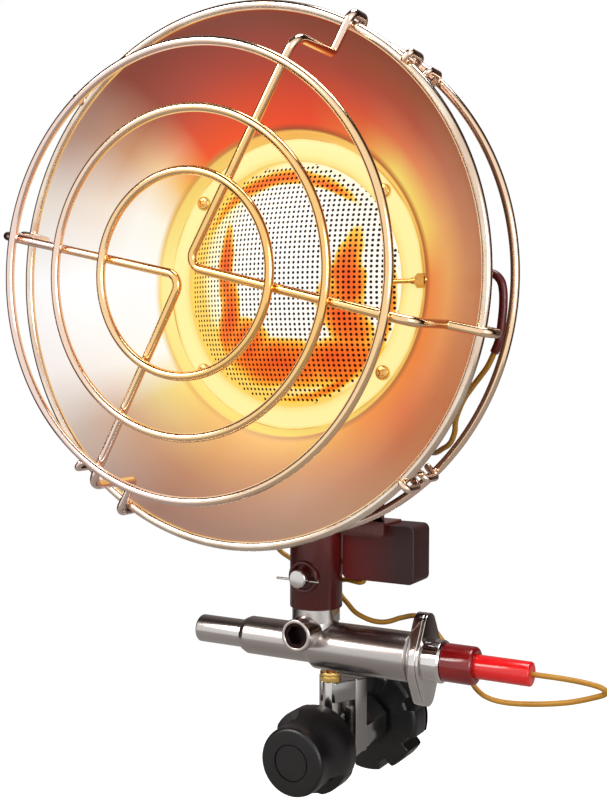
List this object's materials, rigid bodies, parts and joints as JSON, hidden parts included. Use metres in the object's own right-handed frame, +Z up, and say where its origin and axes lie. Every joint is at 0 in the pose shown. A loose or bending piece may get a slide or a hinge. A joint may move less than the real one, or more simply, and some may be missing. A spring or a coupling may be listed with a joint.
{
  "type": "portable propane heater",
  "caption": "Tank-top propane heater: round guarded reflector on a post, with tilt switch, push-button safety valve, control knob and a side-entry tank nut.",
  "frame": {"origin": "on the inlet axis, at the shoulder where the sealing nose leaves the tank nut", "axes": "+Y along the inlet axis into the tank, +Z up along the post, the reflector faces -Y, the safety valve's terminal end points to +X"},
  "size_m": [0.307, 0.2403, 0.4355],
  "materials": {
    "reflector_steel": "polished pressed steel, tinted by heat",
    "burner_face": "heat-tinted satin face ring",
    "emitter_mesh": "perforated sheet, glowing",
    "inner_mesh": "inner screen, glowing",
    "burner_steel": "heat-darkened steel",
    "gasket_fibre": "matt fibre",
    "screw_steel": "plain zinc plated",
    "probe_brass": "heat-tinted brass",
    "guard_wire": "bright nickel plated wire",
    "bracket_paint": "dark enamel",
    "switch_plastic": "fine moulded grain",
    "contact_brass": "plain strip",
    "ball_steel": "polished",
    "sleeve_dark": "shrink sleeve",
    "lead_skin": "mustard insulation",
    "post_enamel": "dark heat-resisting enamel",
    "pin_steel": "bright steel",
    "jet_brass": "turned",
    "collar_chrome": "bright turned",
    "valve_steel": "satin turned",
    "plug_steel": "black oxide",
    "seal_rubber": "plain",
    "spring_steel": "plain wire",
    "terminal_red": "translucent dark red",
    "sleeve_red": "bright red",
    "pipe_copper": "drawn copper",
    "nut_brass": "turned",
    "regulator_cast": "fine cast zinc, mid grey",
    "grip_plastic": "matt black moulded"
  },
  "bodies": {
    "root": {"reflector": "reflector_steel", "burner_plate": "burner_face", "emitter_screen": "emitter_mesh", "inner_screen": "inner_mesh", "burner_plenum": "burner_steel", "plenum_gasket": "gasket_fibre", "plenum_baffle": "burner_steel", "plate_screws": "screw_steel", "mixing_elbow": "burner_steel", "elbow_screws": "screw_steel", "thermocouple": "probe_brass", "thermocouple_nuts": "probe_brass", "guard_outer_ring": "guard_wire", "guard_middle_ring": "guard_wire", "guard_inner_ring": "guard_wire", "guard_spoke_upper": "guard_wire", "guard_spoke_lower": "guard_wire", "guard_rear_ring": "guard_wire", "rear_ring_clips": "guard_wire", "switch_bracket": "bracket_paint", "bracket_screws": "bracket_paint", "switch_case": "switch_plastic", "switch_cover": "switch_plastic", "switch_contacts": "contact_brass", "sensor_sleeve": "sleeve_dark", "sensor_lead": "lead_skin", "cross_lead": "lead_skin", "loop_lead": "lead_skin", "neck_post": "post_enamel", "post_eyelet": "post_enamel", "cross_pin": "pin_steel", "cotter_pin": "pin_steel", "gas_jet": "jet_brass", "neck_collar": "collar_chrome", "valve_body": "valve_steel", "valve_flange": "collar_chrome", "hex_plug": "plug_steel", "rod_spring": "spring_steel", "magnet_unit": "valve_steel", "union_collar": "collar_chrome", "terminal_collar": "terminal_red", "terminal_sleeve": "sleeve_red", "supply_pipe": "pipe_copper", "brass_nut": "nut_brass", "regulator_body": "regulator_cast", "inlet_neck": "regulator_cast", "pressure_diaphragm": "seal_rubber", "pressure_spring": "spring_steel", "inlet_nipple": "nut_brass", "nose_seal": "seal_rubber"},
    "push_rod_body": {"push_rod": "valve_steel", "valve_disc": "seal_rubber"},
    "knob_body": {"control_knob": "grip_plastic", "knob_cap": "grip_plastic", "knob_spindle": "nut_brass"},
    "wheel_body": {"hand_wheel": "grip_plastic"},
    "ball_body": {"tilt_ball": "ball_steel"}
  },
  "joints": [
    {"name": "push_rod_slide", "type": "slide", "parent": "root", "child": "push_rod_body", "axis": [1, 0, 0], "range_m": [0, 0.006], "stiffness_N_per_m": 400, "deforming": ["rod_spring"]},
    {"name": "knob_turn", "type": "hinge", "parent": "root", "child": "knob_body", "pos_m": [0, -0.1, 0], "axis": [0, -1, 0], "range_deg": [0, 270]},
    {"name": "tank_nut_spin", "type": "hinge", "parent": "root", "child": "wheel_body", "pos_m": [0, -0.015, 0], "axis": [0, 1, 0], "continuous": true},
    {"name": "tilt_ball_roll", "type": "slide", "parent": "root", "child": "ball_body", "axis": [1, 0, 0], "range_m": [-0.008, 0.008]}
  ]
}
